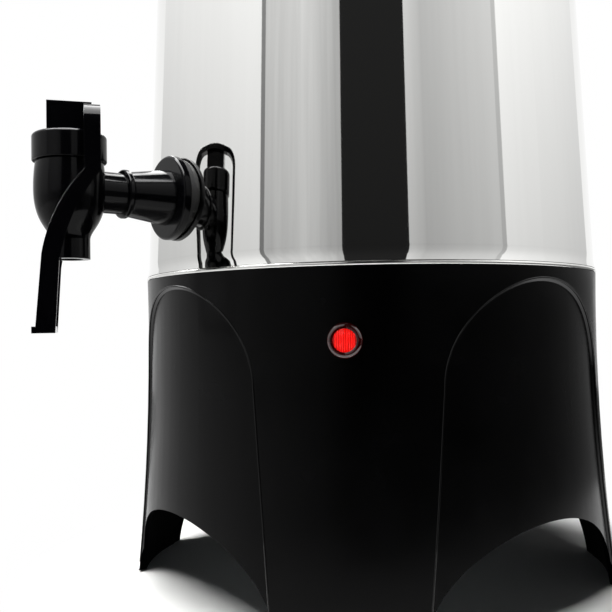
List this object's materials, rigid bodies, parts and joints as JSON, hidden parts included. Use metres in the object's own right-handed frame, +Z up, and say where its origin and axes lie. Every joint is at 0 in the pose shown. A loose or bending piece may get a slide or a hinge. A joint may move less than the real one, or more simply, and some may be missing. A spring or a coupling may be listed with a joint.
{
  "type": "coffee urn",
  "caption": "Percolating coffee urn with a tapered mirror-steel tank, arched black base on feet, self-closing lever tap, indicator lamp, side handles and lift-off lid.",
  "frame": {"origin": "on the floor plane, on the urn's upright axis, midway between the four foot pads", "axes": "+Z up along the urn's axis, -Y out towards the tap, +X towards the handle on the lamp's side"},
  "size_m": [0.2702, 0.2593, 0.3863],
  "materials": {
    "mirror_steel": "mirror-polished stainless sheet",
    "trim_steel": "bright bead",
    "inner_steel": "satin stainless sheet",
    "base_black": "satin black moulding",
    "handle_black": "satin black moulding",
    "tap_black": "glossy black moulding",
    "lever_black": "glossy black moulding",
    "rubber_black": "matt rubber",
    "plate_steel": "zinc-plated sheet",
    "fixing_steel": "plated steel",
    "heater_sheath": "heat-darkened sheath",
    "control_plastic": "brown phenolic",
    "inlet_black": "satin black moulding",
    "contact_brass": "plain brass",
    "lamp_bezel": "smoky clear moulding",
    "lamp_lens": "red clear moulding",
    "nylon_white": "natural nylon",
    "brew_aluminium": "satin aluminium"
  },
  "bodies": {
    "urn": {"base_housing": "base_black", "foot_pads": "rubber_black", "bottom_cover": "plate_steel", "cover_screws": "fixing_steel", "trim_ring": "trim_steel", "tank_wall": "mirror_steel", "tank_bottom": "inner_steel", "heater_ring": "heater_sheath", "heater_clamp": "plate_steel", "center_stud": "fixing_steel", "stud_nuts": "fixing_steel", "stud_washer": "fixing_steel", "thermostat": "control_plastic", "thermostat_bracket": "plate_steel", "thermal_fuse": "fixing_steel", "fuse_clip": "plate_steel", "terminal_block": "control_plastic", "inlet_socket": "inlet_black", "inlet_pins": "contact_brass", "inlet_screws": "fixing_steel", "indicator_bezel": "lamp_bezel", "indicator_lens": "lamp_lens", "indicator_body": "nylon_white", "indicator_nut": "nylon_white", "handle_left": "handle_black", "handle_right": "handle_black", "handle_screws": "fixing_steel", "tap_body": "tap_black", "tap_collar": "tap_black", "tap_shank": "tap_black", "tap_nut": "tap_black", "tap_gasket": "rubber_black", "inner_gasket": "rubber_black", "inner_nut": "nylon_white", "tap_cap": "tap_black", "tap_spring": "fixing_steel"},
    "swivel": {"slip_washer": "nylon_white"},
    "stem": {"tap_stem": "fixing_steel", "seat_cup": "rubber_black", "lever_pin": "fixing_steel"},
    "lever": {"lever": "lever_black"},
    "lid": {"lid_shell": "mirror_steel", "lid_knob": "handle_black", "knob_screw": "fixing_steel"},
    "brew": {"pump_tube": "brew_aluminium", "pump_foot": "brew_aluminium", "pump_valve": "brew_aluminium", "brew_basket": "brew_aluminium"},
    "spreader": {"basket_cover": "brew_aluminium"}
  },
  "joints": [
    {"name": "lever_swivel", "type": "hinge", "parent": "urn", "child": "swivel", "pos_m": [0, -0.1402, 0.1799], "axis": [0, 0, 1], "range_deg": [-2, 42]},
    {"name": "stem_lift", "type": "slide", "parent": "swivel", "child": "stem", "axis": [0, 0, 1], "range_m": [0, 0.002], "stiffness_N_per_m": 600, "springref_m": -0.003, "deforming": ["tap_spring"]},
    {"name": "lever_tilt", "type": "hinge", "parent": "stem", "child": "lever", "pos_m": [0, -0.1402, 0.1851], "axis": [0.9397, -0.342, 0], "range_deg": [0, 15]},
    {"name": "lid_lift", "type": "slide", "parent": "urn", "child": "lid", "axis": [0, 0, 1], "range_m": [0, 0.2]},
    {"name": "brew_lift", "type": "slide", "parent": "urn", "child": "brew", "axis": [0, 0, 1], "range_m": [0, 0.1]},
    {"name": "spreader_lift", "type": "slide", "parent": "brew", "child": "spreader", "axis": [0, 0, 1], "range_m": [0, 0.025]}
  ],
  "couplings": [
    {"joint": "lever_tilt", "follows": "stem_lift", "rad_per_m": 129.87},
    {"joint": "brew_lift", "follows": "lid_lift", "ratio": 0.5}
  ]
}
